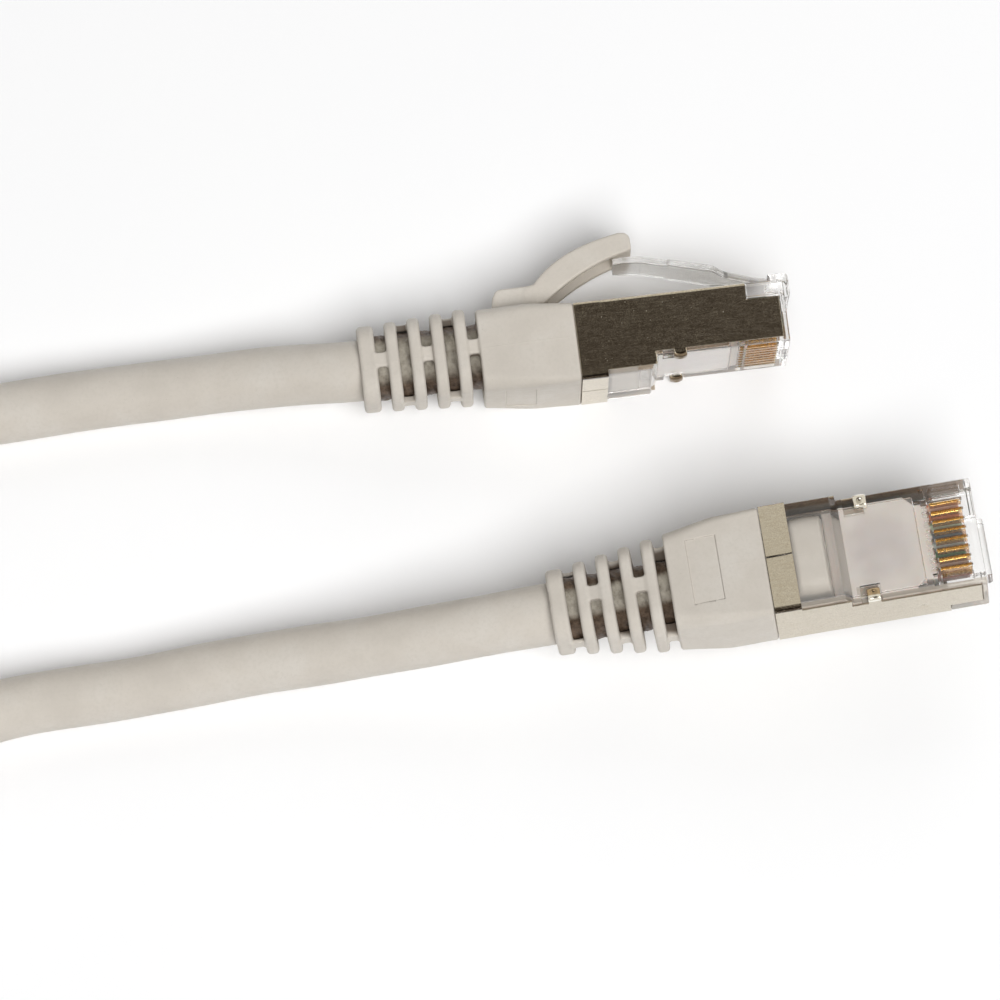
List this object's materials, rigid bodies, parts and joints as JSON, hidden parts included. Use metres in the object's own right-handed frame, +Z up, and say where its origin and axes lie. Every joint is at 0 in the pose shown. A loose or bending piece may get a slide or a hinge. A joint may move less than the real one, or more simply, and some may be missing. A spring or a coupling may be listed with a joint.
{
  "type": "ethernet patch cable",
  "caption": "Shielded round network patch cable, loosely coiled, with a clear latching modular plug, a ribbed strain-relief boot and a curved release lever at each end.",
  "frame": {"origin": "on the resting plane, under the middle of the box round the two plugs with their boots", "axes": "+X the way the plugs' noses point, +Y away from the viewer from plug B to plug A, +Z up"},
  "size_m": [0.1964, 0.0832, 0.0167],
  "materials": {
    "jacket": "satin",
    "clear_plastic": "clear, polished",
    "shield_metal": "bright nickel plating, finely brushed",
    "collar_metal": "plated, pressed",
    "screen_metal": "crinkled foil and tinned braid",
    "guide_plastic": "milky",
    "contact_gold": "gold plated",
    "wire_white_orange": "satin",
    "wire_orange": "satin",
    "wire_white_green": "satin",
    "wire_blue": "satin",
    "wire_white_blue": "satin",
    "wire_green": "satin",
    "wire_white_brown": "satin",
    "wire_brown": "satin"
  },
  "bodies": {
    "cable": {"plug_a_boot": "jacket", "plug_a_housing": "clear_plastic", "plug_a_shield": "shield_metal", "plug_a_wire_guide": "guide_plastic", "plug_a_crimp_collar": "collar_metal", "plug_a_screen": "screen_metal", "plug_a_jacket_end": "jacket", "plug_a_contact_1": "contact_gold", "plug_a_contact_2": "contact_gold", "plug_a_contact_3": "contact_gold", "plug_a_contact_4": "contact_gold", "plug_a_contact_5": "contact_gold", "plug_a_contact_6": "contact_gold", "plug_a_contact_7": "contact_gold", "plug_a_contact_8": "contact_gold", "plug_a_wire_1": "wire_white_orange", "plug_a_wire_2": "wire_orange", "plug_a_wire_3": "wire_white_green", "plug_a_wire_4": "wire_blue", "plug_a_wire_5": "wire_white_blue", "plug_a_wire_6": "wire_green", "plug_a_wire_7": "wire_white_brown", "plug_a_wire_8": "wire_brown", "plug_b_boot": "jacket", "plug_b_housing": "clear_plastic", "plug_b_shield": "shield_metal", "plug_b_wire_guide": "guide_plastic", "plug_b_crimp_collar": "collar_metal", "plug_b_screen": "screen_metal", "plug_b_jacket_end": "jacket", "plug_b_contact_1": "contact_gold", "plug_b_contact_2": "contact_gold", "plug_b_contact_3": "contact_gold", "plug_b_contact_4": "contact_gold", "plug_b_contact_5": "contact_gold", "plug_b_contact_6": "contact_gold", "plug_b_contact_7": "contact_gold", "plug_b_contact_8": "contact_gold", "plug_b_wire_1": "wire_white_orange", "plug_b_wire_2": "wire_orange", "plug_b_wire_3": "wire_white_green", "plug_b_wire_4": "wire_blue", "plug_b_wire_5": "wire_white_blue", "plug_b_wire_6": "wire_green", "plug_b_wire_7": "wire_white_brown", "plug_b_wire_8": "wire_brown", "cable_a": "jacket", "cable_coil": "jacket", "cable_b": "jacket"},
    "lever_a": {"plug_a_boot_lever": "jacket"},
    "latch_a": {"plug_a_latch": "clear_plastic"},
    "lever_b": {"plug_b_boot_lever": "jacket"},
    "latch_b": {"plug_b_latch": "clear_plastic"}
  },
  "joints": [
    {"name": "lever_a_press", "type": "hinge", "parent": "cable", "child": "lever_a", "pos_m": [-0.01391, 0.01543, 0.00585], "axis": [0, 0, -1], "range_deg": [0, 21], "stiffness_Nm_per_rad": 0.05},
    {"name": "latch_a_press", "type": "hinge", "parent": "cable", "child": "latch_a", "pos_m": [0.00987, 0.0171, 0.00585], "axis": [0, 0, 1], "range_deg": [0, 15.2], "stiffness_Nm_per_rad": 0.0005},
    {"name": "lever_b_press", "type": "hinge", "parent": "cable", "child": "lever_b", "pos_m": [0.00673, -0.01587, 0.00526], "axis": [0.1419, -0.9758, 0.1663], "range_deg": [0, 21], "stiffness_Nm_per_rad": 0.05},
    {"name": "latch_b_press", "type": "hinge", "parent": "cable", "child": "latch_b", "pos_m": [0.03005, -0.01197, 0.00822], "axis": [-0.1419, 0.9758, -0.1663], "range_deg": [0, 15.2], "stiffness_Nm_per_rad": 0.0005}
  ],
  "couplings": [
    {"joint": "latch_a_press", "follows": "lever_a_press", "ratio": 0.72},
    {"joint": "latch_b_press", "follows": "lever_b_press", "ratio": 0.72}
  ]
}
